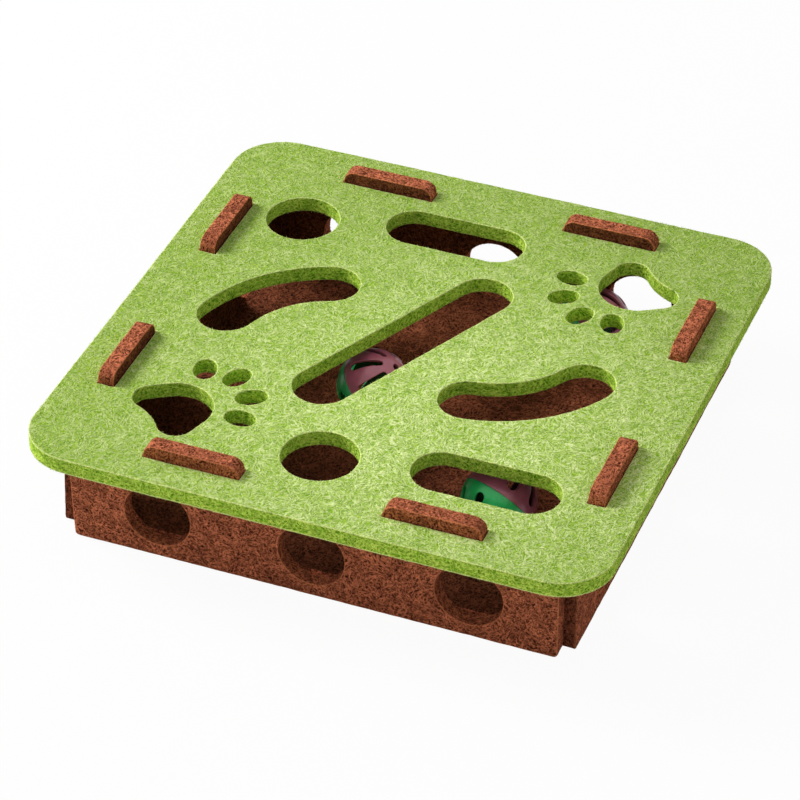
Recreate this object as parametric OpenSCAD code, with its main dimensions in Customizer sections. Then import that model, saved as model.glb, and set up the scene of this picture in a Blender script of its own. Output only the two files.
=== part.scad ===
// Cat felt maze box: a square felt box with paw holes in its walls, a felt top board
// with slots, circles and paw prints cut through it, and three bell balls inside.
// Millimetres, +Z up, origin on the ground under the middle of the box, front at -Y.

/* [Felt] */
// Thickness of the felt that every panel is cut from
felt_t = 8.5; // [6:0.1:11]

/* [Box] */
// Clear width inside, between the inner faces of opposite walls
inside_w = 247.6; // [240:0.2:280]
// Room between the top of a ball and the underside of the top board
headroom = 5.2; // [2:0.1:20]
// How far the front and back walls run on past the inner faces of the side walls
wall_run_on = 2.4; // [0.5:0.1:6]

/* [Paw holes in the walls] */
// Diameter of a paw hole
hole_d = 34.8; // [20:0.2:40]
// Height of the lowest point of a paw hole above the ground
hole_sill = 7; // [4:0.2:10]
// Distance between the centres of neighbouring paw holes
hole_pitch = 81; // [60:0.5:95]

/* [Tabs] */
// Length of a wall tab
tab_l = 50; // [30:0.5:60]
// Distance between the centres of the two tabs of a wall
tab_pitch = 124; // [90:1:150]
// How far a tab stands above the top board
tab_rise = 6.6; // [3:0.1:12]
// Radius of the upper corners of a tab
tab_corner_r = 6; // [1:0.5:10]
// Clearance all round a tab in its slot in the top board
tab_gap = 0.4; // [0.2:0.05:1]

/* [Top board] */
// How far the top board stands out past the walls
overhang = 17.7; // [8:0.1:30]
// Corner radius of the top board
board_corner_r = 28; // [10:0.5:40]

/* [Round holes in the top board] */
// Diameter of the two round holes
circle_d = 38.6; // [25:0.2:45]
// Centre of the back round hole, in from the left wall
back_circle_from_left = 30; // [24:0.2:60]
// Centre of the back round hole, in from the back wall
back_circle_from_back = 40.2; // [24:0.2:60]
// Centre of the front round hole, to the left of the middle
front_circle_left = 7.8; // [0:0.2:20]
// Centre of the front round hole, in from the front wall
front_circle_from_front = 23; // [22.5:0.2:40]

/* [Straight slots in the top board] */
// Width of every slot
slot_w = 30.4; // [20:0.2:34]
// Length over the rounded ends of the two slots that run straight across
slot_l = 75.6; // [50:0.2:90]
// Centre of the back slot, to the left of the middle
back_slot_left = 13.5; // [0:0.2:20]
// Centre of the back slot, in from the back wall
back_slot_from_back = 25.8; // [20:0.2:40]
// Centre of the front slot, in from the right wall
front_slot_from_right = 50.1; // [48:0.2:60]
// Centre of the front slot, in from the front wall
front_slot_from_front = 33.3; // [20:0.2:45]
// Length over the rounded ends of the slanted slot
slanted_slot_l = 141.6; // [100:0.2:150]
// Angle of the slanted slot from the front edge
slanted_slot_angle = 65; // [55:0.5:75]
// Centre of the slanted slot, to the left of the middle
slanted_slot_left = 4.8; // [0:0.2:8]
// Centre of the slanted slot, behind the middle
slanted_slot_behind = 2.4; // [-8:0.2:8]

/* [Curved slots in the top board] */
// Radius of the middle line of the left curved slot
left_bend_r = 64; // [55:0.5:70]
// Centre of the left bend, to the left of the middle
left_bend_left = 35; // [25:0.5:40]
// Centre of the left bend, in front of the middle
left_bend_front = 26; // [15:0.5:35]
// Angle of the left bend's inner end, from the right-hand direction
left_bend_start = 110.5; // [105:0.5:120]
// Angle of the left bend's outer end
left_bend_end = 165; // [140:0.5:175]
// Radius of the middle line of the right curved slot
right_bend_r = 66; // [55:0.5:70]
// Centre of the right bend, to the right of the middle
right_bend_right = 33.2; // [25:0.5:40]
// Centre of the right bend, behind the middle
right_bend_behind = 32.8; // [25:0.5:40]
// Angle of the right bend's inner end, from the right-hand direction
right_bend_start = -81.7; // [-90:0.1:-75]
// Angle of the right bend's outer end
right_bend_end = -27.8; // [-50:0.1:-20]

/* [Paw prints in the top board] */
// Middle of each paw print's pad, in from the side wall of its corner
paw_from_side = 34.7; // [30:0.1:40]
// Middle of the front paw print's pad, in from the front wall
front_paw_from_front = 33.1; // [30:0.1:40]
// Middle of the back paw print's pad, in from the back wall
back_paw_from_back = 35.7; // [30:0.1:40]
// Turn of each paw print away from the box's diagonal
paw_turn = 1.5; // [-4:0.5:6]
// Radius of the round front of the pad
pad_r = 19.2; // [15:0.1:22]
// Radius of each of the pad's two heel lobes
lobe_r = 9.4; // [8:0.1:11]
// Heel lobes behind the middle of the pad
lobe_back = 6; // [4:0.1:8]
// Heel lobes out to the side of the middle of the pad
lobe_side = 12.7; // [10:0.1:14]
// Depth of the heel's dent, in from the back of the lobes
dent_depth = 1.9; // [0.8:0.1:4]
// Turn of the pad away from the paw print's middle line
pad_turn = 6; // [0:0.5:12]
// Length of a toe
toe_l = 16.6; // [12:0.1:18]
// Width of a toe
toe_w = 12; // [9:0.1:13]
// Radius of the tight ends of a toe
toe_end_r = 5; // [4:0.1:5.4]
// Distance of the two inner toes from the middle of the pad
inner_toe_out = 38.2; // [36:0.1:42]
// Angle of the inner toes to each side of the middle line
inner_toe_angle = 13.7; // [12:0.1:16]
// Distance of the two outer toes from the middle of the pad
outer_toe_out = 33.7; // [32:0.1:38]
// Angle of the outer toes to each side of the middle line
outer_toe_angle = 41; // [38:0.5:48]
// Lean of the inner toes to each side of the middle line
inner_toe_lean = 16; // [0:1:30]
// Lean of the outer toes to each side of the middle line
outer_toe_lean = 56; // [30:1:70]
// Turn of every toe about its own middle
toe_turn = 4.5; // [0:0.5:10]

/* [Bell balls] */
// Outer diameter of a ball
ball_d = 38; // [30:0.5:46]
// Wall of a ball's half shells
ball_wall = 1.8; // [1.2:0.1:2.6]
// Depth of the lap where the two halves snap together
lap_h = 1.2; // [0.8:0.1:2]
// Clearance in the snapped lap
lap_gap = 0.1; // [0.05:0.05:0.2]
// Number of windows round each half
window_count = 8; // [5:1:9]
// Angle from the pole to a window's narrow end
window_top = 24; // [20:0.5:30]
// Angle from the pole to a window's wide end
window_bottom = 76; // [60:0.5:78]
// Width of a window at its narrow end
window_narrow = 3; // [2:0.1:3.6]
// Width of a window at its wide end
window_wide = 5; // [3:0.1:6]
// Diameter of the hole at each pole
pole_hole_d = 4; // [2:0.1:5]
// Clearance under a ball
ball_lift = 0.3; // [0.2:0.05:0.6]

/* [Bells] */
// Outer diameter of a bell
bell_d = 13; // [10:0.2:15]
// Sheet metal of a bell
bell_wall = 0.6; // [0.4:0.1:1]
// Width of the cross slit in a bell
bell_slit = 1; // [0.6:0.1:1.6]
// Diameter of the round ends of the cross slit
bell_slit_end_d = 2.2; // [1.6:0.1:3]
// Distance of the cross slit's round ends below the middle of the bell
bell_slit_below = 2.2; // [2.2:0.1:3]
// How far the crimped seam round a bell stands out
bell_seam = 0.5; // [0.3:0.1:0.8]
// Height of the crimped seam
bell_seam_h = 0.9; // [0.6:0.1:1.4]
// Diameter of the wire of a bell's loop
loop_wire_d = 1.1; // [0.8:0.1:1.4]
// Radius of the middle line of a bell's loop
loop_r = 1.8; // [1.5:0.1:2.5]
// Diameter of the loose pellet inside a bell
pellet_d = 4; // [3:0.1:5]
// Clearance between a ball and its bell, and between a bell and its pellet
bell_gap = 0.3; // [0.2:0.05:0.5]

/* [Where the balls lie] */
// Middle ball, to the left of the middle of the box
middle_ball_left = 21; // [0:0.5:40]
// Middle ball, behind the middle of the box
middle_ball_behind = 1.8; // [-10:0.2:10]
// Front ball, in from the right wall
front_ball_from_right = 53.2; // [30:0.2:70]
// Front ball, in from the front wall
front_ball_from_front = 61.2; // [30:0.2:70]
// Back ball, in from the right wall
back_ball_from_right = 58.6; // [30:0.2:70]
// Back ball, in from the back wall
back_ball_from_back = 28.8; // [24:0.2:40]
// Middle ball: mauve pole's tilt from upright, turn from the right and spin, green half's extra spin
middle_ball_pose = [40.5, 3, 24.5, 32]; // [-180:0.5:180]
// Front ball: the same four angles
front_ball_pose = [57.5, 69, 35, 11.5]; // [-180:0.5:180]
// Back ball: the same four angles
back_ball_pose = [69, 2, 38, 22.5]; // [-180:0.5:180]

/* [Hidden] */

$fn = 96;
// Overshoot of a cutting shape past the face that it cuts
over = 1;
// Straight steps along each round end of a window
arc_steps = 8;
// Step where two arcs that would only touch are made to cross
cross_step = 0.05;
green_felt = [0.62, 0.78, 0.30];
brown_felt = [0.45, 0.25, 0.19];
mauve_plastic = [0.66, 0.36, 0.44];
green_plastic = [0.15, 0.60, 0.33];
brass = [0.80, 0.63, 0.30];
steel = [0.75, 0.75, 0.77];

inside_half = inside_w / 2;
wall_h = felt_t + ball_lift + ball_d + headroom;
tab_h = felt_t + tab_rise;
board_w = inside_w + 2 * (felt_t + overhang);
// Middle of a wall's thickness, from the middle of the box
wall_mid = inside_half + felt_t / 2;

ball_r = ball_d / 2;
ball_inner_r = ball_r - ball_wall;
lap_r = ball_r - ball_wall / 2;
ball_z = felt_t + ball_lift + ball_r;
bell_r = bell_d / 2;
bell_drop = ball_inner_r - bell_gap - bell_r;
pellet_drop = bell_r - bell_wall - bell_gap - pellet_d / 2;

middle_ball_at = [-middle_ball_left, middle_ball_behind, ball_z];
front_ball_at = [inside_half - front_ball_from_right, front_ball_from_front - inside_half, ball_z];
back_ball_at = [inside_half - back_ball_from_right, inside_half - back_ball_from_back, ball_z];

// Slot with round ends along X, centred
module straight_slot(l, w) {
    square([l - w, w], center = true);
    for (side = [-1, 1]) translate([side * (l - w) / 2, 0]) circle(d = w);
}

// Point on a circle about the origin
function on_circle(r, angle) = r * [cos(angle), sin(angle)];

// Slot of width w with round ends, along an arc of radius r about the origin
module curved_slot(r, w, start, end) {
    reach = 2 * (r + w);
    difference() {
        circle(r + w / 2);
        circle(r - w / 2);
        // Everything outside the two ends' radii, for a bend of less than half a turn
        polygon([
            [0, 0], on_circle(reach, end), on_circle(reach, (start + end) / 2 + 120),
            on_circle(reach, (start + end) / 2 - 120), on_circle(reach, start)
        ]);
    }
    for (angle = [start, end]) translate(on_circle(r, angle)) circle(w / 2 - cross_step);
}

// Oval of four arcs, length l along X: two tight ends and two flat sides that run into them
module oval(l, w, end_r) {
    end_x = l / 2 - end_r;
    slack = w / 2 - end_r;
    side_y = (end_x * end_x - slack * slack) / (2 * slack);
    side_r = w / 2 + side_y;
    meet_x = end_x * side_r / (side_r - end_r);
    for (side = [-1, 1]) translate([side * end_x, 0]) circle(end_r - cross_step);
    intersection() {
        translate([0, -side_y]) circle(side_r);
        translate([0, side_y]) circle(side_r);
        square([2 * meet_x, w], center = true);
    }
}

// Pad of a paw print, its front along +X: a round front, two heel lobes with a dent between
// and straight sides
module pad() {
    // The dent's arc is the one that touches both lobes
    step = lobe_r - dent_depth;
    dent_r = (step * step + lobe_side * lobe_side - lobe_r * lobe_r) / (2 * dent_depth);
    // Direction square to a straight side, which touches the round front and a lobe
    side_angle = atan2(lobe_side, -lobe_back) - acos((pad_r - lobe_r) / norm([lobe_back, lobe_side]));
    difference() {
        circle(pad_r);
        translate([-lobe_back - step - dent_r, 0]) circle(dent_r + cross_step);
    }
    for (side = [-1, 1]) {
        lobe = [-lobe_back, side * lobe_side];
        translate(lobe) circle(lobe_r);
        polygon([
            [0, 0], on_circle(pad_r - cross_step, side * side_angle),
            lobe + on_circle(lobe_r - cross_step, side * side_angle), lobe
        ]);
    }
}

// Whole paw print, its toes along +X
module paw_print() {
    rotate(pad_turn) pad();
    for (side = [-1, 1]) {
        translate(on_circle(inner_toe_out, side * inner_toe_angle))
            rotate(side * inner_toe_lean + toe_turn) oval(toe_l, toe_w, toe_end_r);
        translate(on_circle(outer_toe_out, side * outer_toe_angle))
            rotate(side * outer_toe_lean + toe_turn) oval(toe_l, toe_w, toe_end_r);
    }
}

// Square with rounded corners, centred
module rounded_square(w, r) {
    square([w, w - 2 * r], center = true);
    square([w - 2 * r, w], center = true);
    for (x = [-1, 1], y = [-1, 1]) translate([x, y] * (w / 2 - r)) circle(r);
}

// Everything that is cut through the top board for the cat's paws
module board_cut_outs() {
    translate([back_circle_from_left - inside_half, inside_half - back_circle_from_back]) circle(d = circle_d);
    translate([-front_circle_left, front_circle_from_front - inside_half]) circle(d = circle_d);
    translate([-back_slot_left, inside_half - back_slot_from_back]) straight_slot(slot_l, slot_w);
    translate([inside_half - front_slot_from_right, front_slot_from_front - inside_half])
        straight_slot(slot_l, slot_w);
    translate([-slanted_slot_left, slanted_slot_behind]) rotate(slanted_slot_angle)
        straight_slot(slanted_slot_l, slot_w);
    translate([-left_bend_left, -left_bend_front])
        curved_slot(left_bend_r, slot_w, left_bend_start, left_bend_end);
    translate([right_bend_right, right_bend_behind])
        curved_slot(right_bend_r, slot_w, right_bend_start, right_bend_end);
    translate([paw_from_side - inside_half, front_paw_from_front - inside_half])
        rotate(45 + paw_turn) paw_print();
    translate([inside_half - paw_from_side, inside_half - back_paw_from_back])
        rotate(225 + paw_turn) paw_print();
}

// Slots in the top board that the wall tabs come up through
module tab_slots() {
    for (wall = [0:3], side = [-1, 1]) rotate(90 * wall) translate([side * tab_pitch / 2, -wall_mid])
        square([tab_l, felt_t] + 2 * tab_gap * [1, 1], center = true);
}

module top_board() {
    color(green_felt) translate([0, 0, wall_h]) difference() {
        linear_extrude(felt_t) rounded_square(board_w, board_corner_r);
        translate([0, 0, -over]) linear_extrude(felt_t + 2 * over) {
            board_cut_outs();
            tab_slots();
        }
    }
}

// Tab with rounded upper corners, its foot on the origin
module tab() {
    translate([-tab_l / 2, 0]) square([tab_l, tab_h - tab_corner_r]);
    translate([tab_corner_r - tab_l / 2, 0]) square([tab_l - 2 * tab_corner_r, tab_h]);
    for (side = [-1, 1]) translate([side * (tab_l / 2 - tab_corner_r), tab_h - tab_corner_r])
        circle(tab_corner_r);
}

// Wall panel of the given length, standing at the front of the box
module wall_panel(l) {
    translate([0, -inside_half, 0]) rotate([90, 0, 0]) difference() {
        linear_extrude(felt_t) {
            translate([-l / 2, 0]) square([l, wall_h]);
            for (side = [-1, 1]) translate([side * tab_pitch / 2, wall_h]) tab();
        }
        for (place = [-1:1]) translate([place * hole_pitch, hole_sill + hole_d / 2, -over])
            cylinder(d = hole_d, h = felt_t + 2 * over);
    }
}

module front_wall() { color(brown_felt) wall_panel(inside_w + 2 * wall_run_on); }
module back_wall() { color(brown_felt) rotate(180) wall_panel(inside_w + 2 * wall_run_on); }
module left_wall() { color(brown_felt) rotate(-90) wall_panel(inside_w); }
module right_wall() { color(brown_felt) rotate(90) wall_panel(inside_w); }

module base_panel() {
    color(brown_felt) translate([-inside_half, -inside_half, 0]) cube([inside_w, inside_w, felt_t]);
}

// Points along an arc about a centre, both ends included
function arc_points(centre, r, start, end) =
    [for (i = [0:arc_steps]) centre + on_circle(r, start + (end - start) * i / arc_steps)];

// Window outline, its narrow end towards -X: two round ends and the straight sides that touch both
module window_outline(l, narrow, wide) {
    narrow_x = (narrow - l) / 2;
    wide_x = (l - wide) / 2;
    flare = asin((wide - narrow) / 2 / (wide_x - narrow_x));
    polygon(concat(
        arc_points([narrow_x, 0], narrow / 2, 90 + flare, 270 - flare),
        arc_points([wide_x, 0], wide / 2, -90 - flare, 90 + flare)
    ));
}

// Cutting shapes for the windows round the pole and the hole at it, pole along +Z
module window_cuts() {
    middle = (window_top + window_bottom) / 2;
    l = 2 * ball_r * sin((window_bottom - window_top) / 2);
    for (i = [0:window_count - 1]) rotate([0, middle, 360 * i / window_count])
        translate([0, 0, ball_inner_r / 2]) linear_extrude(ball_r)
            window_outline(l, window_narrow, window_wide);
    cylinder(d = pole_hole_d, h = 2 * ball_r);
}

// Plain half of a hollow ball, pole along +Z, with its windows
module half_shell() {
    difference() {
        intersection() {
            sphere(ball_r);
            translate([-ball_d, -ball_d, 0]) cube(2 * ball_d);
        }
        sphere(ball_inner_r);
        window_cuts();
    }
}

// Half whose rim laps over the other half
module mauve_half() {
    color(mauve_plastic) difference() {
        half_shell();
        translate([0, 0, -over]) cylinder(r = lap_r + lap_gap, h = lap_h + lap_gap + over);
    }
}

// Half with a thin ring that goes up inside the other half's rim
module green_half() {
    color(green_plastic) {
        rotate([180, 0, 0]) half_shell();
        difference() {
            translate([0, 0, -lap_h]) cylinder(r = lap_r, h = 2 * lap_h);
            sphere(ball_inner_r);
        }
    }
}

// Jingle bell with a cross slit below, a crimped seam round it and a wire loop on top
module bell() {
    color(brass) difference() {
        union() {
            sphere(bell_r);
            translate([0, 0, -bell_seam_h / 2]) cylinder(r = bell_r + bell_seam, h = bell_seam_h);
            translate([0, 0, bell_r + loop_r - loop_wire_d / 2]) rotate([90, 0, 0])
                rotate_extrude() translate([loop_r, 0]) circle(d = loop_wire_d);
        }
        sphere(bell_r - bell_wall);
        for (turn = [0, 90]) rotate(turn) {
            translate([-bell_d, -bell_slit / 2, -bell_d])
                cube([2 * bell_d, bell_slit, bell_d - bell_slit_below]);
            translate([-bell_d, 0, -bell_slit_below]) rotate([0, 90, 0])
                cylinder(d = bell_slit_end_d, h = 2 * bell_d);
        }
    }
}

module pellet() { color(steel) sphere(d = pellet_d); }

// Puts a ball at a place, with its mauve pole tilted, turned and spun as in pose
module pose_ball(at, pose) {
    translate(at) rotate([0, pose[0], pose[1]]) rotate(pose[2]) children();
}

module put_mauve_half(at, pose) { pose_ball(at, pose) mauve_half(); }
module put_green_half(at, pose) { pose_ball(at, pose) rotate(pose[3]) green_half(); }
module put_bell(at) { translate(at - [0, 0, bell_drop]) bell(); }
module put_pellet(at) { translate(at - [0, 0, bell_drop + pellet_drop]) pellet(); }

module middle_ball_mauve_half() { put_mauve_half(middle_ball_at, middle_ball_pose); }
module middle_ball_green_half() { put_green_half(middle_ball_at, middle_ball_pose); }
module middle_bell() { put_bell(middle_ball_at); }
module middle_pellet() { put_pellet(middle_ball_at); }
module front_ball_mauve_half() { put_mauve_half(front_ball_at, front_ball_pose); }
module front_ball_green_half() { put_green_half(front_ball_at, front_ball_pose); }
module front_bell() { put_bell(front_ball_at); }
module front_pellet() { put_pellet(front_ball_at); }
module back_ball_mauve_half() { put_mauve_half(back_ball_at, back_ball_pose); }
module back_ball_green_half() { put_green_half(back_ball_at, back_ball_pose); }
module back_bell() { put_bell(back_ball_at); }
module back_pellet() { put_pellet(back_ball_at); }

top_board();
front_wall();
back_wall();
left_wall();
right_wall();
base_panel();
middle_ball_mauve_half();
middle_ball_green_half();
middle_bell();
middle_pellet();
front_ball_mauve_half();
front_ball_green_half();
front_bell();
front_pellet();
back_ball_mauve_half();
back_ball_green_half();
back_bell();
back_pellet();
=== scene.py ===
"""Felt, bell balls and studio stage for the cat felt maze box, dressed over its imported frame."""

import math
import random

import bmesh
import bpy
from mathutils import Euler, Matrix, Vector, noise
from mathutils.bvhtree import BVHTree


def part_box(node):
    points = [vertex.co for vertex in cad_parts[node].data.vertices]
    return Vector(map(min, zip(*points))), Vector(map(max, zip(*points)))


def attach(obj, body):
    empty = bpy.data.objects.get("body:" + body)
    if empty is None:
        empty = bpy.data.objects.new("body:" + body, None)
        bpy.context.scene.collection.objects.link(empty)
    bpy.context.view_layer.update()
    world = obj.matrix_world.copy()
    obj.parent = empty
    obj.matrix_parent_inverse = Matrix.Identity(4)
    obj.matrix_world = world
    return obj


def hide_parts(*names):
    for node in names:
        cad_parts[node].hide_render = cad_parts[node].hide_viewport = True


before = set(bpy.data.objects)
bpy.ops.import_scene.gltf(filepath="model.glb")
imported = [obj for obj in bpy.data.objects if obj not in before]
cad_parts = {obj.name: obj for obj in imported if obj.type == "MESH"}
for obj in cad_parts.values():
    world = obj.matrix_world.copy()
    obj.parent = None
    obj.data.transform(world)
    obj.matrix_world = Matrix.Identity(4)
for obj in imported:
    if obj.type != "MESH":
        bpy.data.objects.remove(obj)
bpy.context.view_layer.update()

bl_info = {
    "name": "Cat felt maze box",
    "version": (1, 0, 0),
    "blender": (4, 5, 0),
    "location": "3D View > Sidebar > Maze box",
    "description": "Dresses the packed maze box in felt and plastic and puts it on a studio stage",
    "category": "Object",
}

WALLS = ("front_wall", "back_wall", "left_wall", "right_wall")
BALLS = ("middle", "front", "back")
HALVES = ("mauve", "green")
X_AXIS = Vector((1, 0, 0))
Y_AXIS = Vector((0, 1, 0))
Z_AXIS = Vector((0, 0, 1))
# Direction through the thickness of each felt panel, towards the inside of the box
THROUGH = {
    "top_board": -Z_AXIS,
    "base_panel": Z_AXIS,
    "front_wall": Y_AXIS,
    "back_wall": -Y_AXIS,
    "left_wall": X_AXIS,
    "right_wall": -X_AXIS,
}
# Starts of the random draws, and of the uneven felt of the board and of the first wall
BOARD_EDGE_SEED = 11
BOARD_NAP_SEED = 17
WALL_SEED = 23
BOARD_WAVE_SEED = 3.0
WALL_WAVE_SEED = 5.0

# Points of a felt panel or of a ball half that are nearer than this are one point
FELT_WELD = 0.0004
BALL_WELD = 0.00008
# Edges shorter than this share of the weld are taken out
TINY_EDGE = 0.1
# A point this near a cutting plane lies in it
ON_PLANE = 1e-6
# Decimals of a metre to which places are compared
PLACE_DIGITS = 6
# Faces that differ by less than this angle are one flat face
FLAT_ANGLE = math.radians(0.4)
# Edges of a ball half and ground corners of a wall that are sharper than this get rounded
SHARP_ANGLE = math.radians(40)
# Flat steps in the rounding of a cut edge, of a wall's ground corner and of a ball's edge
EDGE_SEGMENTS = 3
CORNER_SEGMENTS = 4
BALL_SEGMENTS = 2
# Least share of one direction in another to run mostly along it, be of a face, run straight or be level
MOSTLY = 0.5
OF_FACE = 0.9
STRAIGHT = 0.99
LEVEL = 0.999

# Ends of the fades between a panel's zones, by the share of a point's direction that runs through the panel
CUT_FADE = (0.95, 0.65)
RIM_FROM_FACE = (0.9985, 0.9685)
RIM_FROM_CUT = (0.25, 0.65)
LOWER_HIGHLIGHT_FADE = (0.0, 0.1)
INSIDE_FADE = (0.9, 0.98)
# How strong the painted highlight on the rims is, which stands in for their lit fuzz. The base lies pressed
# between the walls, so its rims have none
RIM_SHARES = {"top_board": 0.95, "base_panel": 0.0}
WALL_RIM_SHARE = 0.7
# Width of the ring on an outer face that takes the painted rim highlight, and height of the band of the
# board's lower rim that takes it all over, in edge radii
RING_WIDTH = 0.7
LOWER_HIGHLIGHT_HEIGHT = 1.7
# Lengths of the slow waves in a panel and of the wander of its cut edges
WAVE_STEP = 0.055
RAGGED_STEP = 0.0032
# How a seed moves the place where the noise is read, and what sets the wander of the edges apart
SEED_OFFSET = (1.0, 2.3, 4.1)
RAGGED_SEED = 7
# Start of that noise, which Blender would otherwise take from the clock
NOISE_SEED = 1

# Width of the band along the board's outline
BRIM = 0.003
# How much nearer a round corner of the board is to its middle than a sharp one, counted along both sides
CORNER = 0.016
# Edges this near a wall tab, the ground or the seam under the board are pressed and have no loose fibres
PRESSED = 0.001
# The left wall's flare: its length, its loss with height, its end above the seam and the fade to it
FLARE_LENGTH = 0.085
FLARE_LOSS = 0.4 / 0.045
FLARE_TOP = 0.004
FLARE_FADE = 0.02
# Length of the front wall's leaning end
LEAN_LENGTH = 0.02
# Depth and inside shade of the side walls' ends
END_DEPTH = 0.0005
END_SHADE = 0.9
# How much of the base's shade is lifted where light comes in, and the ends of that fade
BASE_LIGHT = 0.75
BASE_LIGHT_X = (-0.13, -0.03)
BASE_LIGHT_Y = (-0.06, 0.06)

# Straight steps in a loose fibre that stands on an edge or lies on a face
EDGE_STEPS = 2
NAP_STEPS = 3
# Shortest loose fibre, as a share of the longest
EDGE_SHORTEST = 0.25
NAP_SHORTEST = 0.4
# Radius of a fibre's tip as a share of its root's, and how much a fibre turns at each step
FIBRE_TIP = 0.45
FIBRE_TURN = 0.45
# An edge fibre's root in edge radii, its slant along the edge, its stray and its bend back
EDGE_ROOT = 0.8
EDGE_SLANT = 1.6
EDGE_STRAY = 0.5
EDGE_BACK = -0.25
# Height of a lying fibre's ends and of its middle over the face, in fibre radii
NAP_END = -0.5
NAP_MIDDLE = 1.0
# How far in front of and behind the side of a panel's box its outer face is looked for
NAP_REACH = 0.006

# Noises of the felt, in waves to the metre
SHAKE_SCALE = 150.0
PATCH_SCALE = 170.0
BLOTCH_SCALE = 120.0
TUFT_SCALE = 620.0
GRAIN_SCALE = 1500.0
LOOSE_SCALE = 700.0
FINE_ROUGHNESS = 0.6
NOISE_MIDDLE = 0.5
# How far the drawn fibres are shaken out of their straight lines
SHAKE = 0.0035
# Drawn fibres: directions in degrees, length and width in fibre lengths, and reach from the noise's middle
PALE_STRANDS = ((10, 95, 52, 140), 1.0, 0.3, 0.085)
DARK_STRANDS = ((31, 118, 75, 164), 0.8, 0.3, 0.085)
HAIR_STRANDS = ((0, 64), 0.6, 0.12, 0.10)
STRAND_OFFSET = (0.31, 0.17, 0.23)
STRAND_CORE = 0.35
HAIR_SHARE = 0.5
# Ranges of a noise that are stretched to go from 0 to 1
PATCH_RANGE = (0.44, 0.56)
BLOTCH_RANGE = (0.34, 0.66)
PALE_TUFT_RANGE = (0.54, 0.60)
DARK_TUFT_RANGE = (0.49, 0.41)
LOOSE_RANGE = (0.35, 0.60)
RIM_RANGE = (0.3, 0.6)
MIDDLE_RANGE = (0.3, 0.7)
# Strength of the dark and pale fibres outside and inside a blotch, of the painted highlight on a rim, and
# of the grain
DARK_BLOTCH = (1.0, 0.75)
PALE_BLOTCH = (0.60, 0.95)
RIM_HIGHLIGHT = (0.45, 1.0)
GRAIN_TONE = (0.72, 1.28)
# Share of the tufts on the faces, which the cut edges have in full
FACE_TUFTS = {"green": 0.35, "brown": 1.0}
# Painted light: the felt is palest round one place and darker away from it. Its fade, its share on cut
# edges, its depth and its hold on pale fibres
PAINTED_LIGHT_MIDDLE = (0.045, -0.06, 0.06)
PAINTED_LIGHT_FADE = (0.05, 0.19)
PAINTED_LIGHT_ON_CUT = 0.2
PAINTED_LIGHT_DEPTH = {"green": 0.24, "brown": 0.0}
PAINTED_LIGHT_ON_FIBRES = 1.5
# Shares of fibres, grain and blotches in the felt's relief
FIBRE_RELIEF = 0.6
GRAIN_RELIEF = 0.7
BLOTCH_RELIEF = 0.4

# Noises of the plastic and of the metal, in waves to the metre
FLOW_SCALE = 160.0
SCUFF_SCALE = 900.0
TONE_SCALE = 220.0
MARK_SCALE = 1400.0
# Share of a colour left in the plastic's flow marks, in the painted shade of a ball's hollow and where a
# metal is dull
FLOW_COLOUR = 0.78
HOLLOW_SHADE = 0.15
DULL_COLOUR = 0.7
# Roughness of the finishes, and how far scuffs and draw marks change it
PLASTIC_ROUGHNESS = 0.34
BRASS_ROUGHNESS = 0.28
STEEL_ROUGHNESS = 0.30
SCUFFS = (-0.06, 0.10)
DRAW_MARKS = (-0.08, 0.12)
# A point of a ball takes the painted shade of its hollow as its direction turns from this share of outwards
# to inwards
HOLLOW_START = 0.2

# Place and side of each soft box, and the place that all of them point at
SIDE_BOX = ((-1.40, 0.07, 1.05), 0.65)
FRONT_BOX = ((-0.2, -1.68, 0.25), 0.6)
OVERHEAD_BOX = ((0, 0, 1.6), 1.2)
LAMP_AIM = Vector((0, 0, 0.03))
# The floor lies a little under the box, whose lower edges are uneven
FLOOR_RADIUS = 6.0
FLOOR_SIDES = 64
FLOOR_DROP = 0.0006
# Share of plain white in the floor as the camera sees it
FLOOR_WHITE = 0.95
WHITE = (1, 1, 1, 1)
SENSOR_WIDTH = 36.0
NEAR_CLIP = 0.05
FAR_CLIP = 50.0


def length_setting(name, description, default):
    """A length that a user can change."""
    return bpy.props.FloatProperty(
        name=name, description=description, default=default, min=0, unit="LENGTH"
    )


def colour_setting(name, description, default):
    """A colour that a user can change."""
    return bpy.props.FloatVectorProperty(
        name=name, description=description, default=default, subtype="COLOR"
    )


def amount_setting(name, description, default):
    """A plain amount that a user can change."""
    return bpy.props.FloatProperty(name=name, description=description, default=default, min=0)


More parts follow.
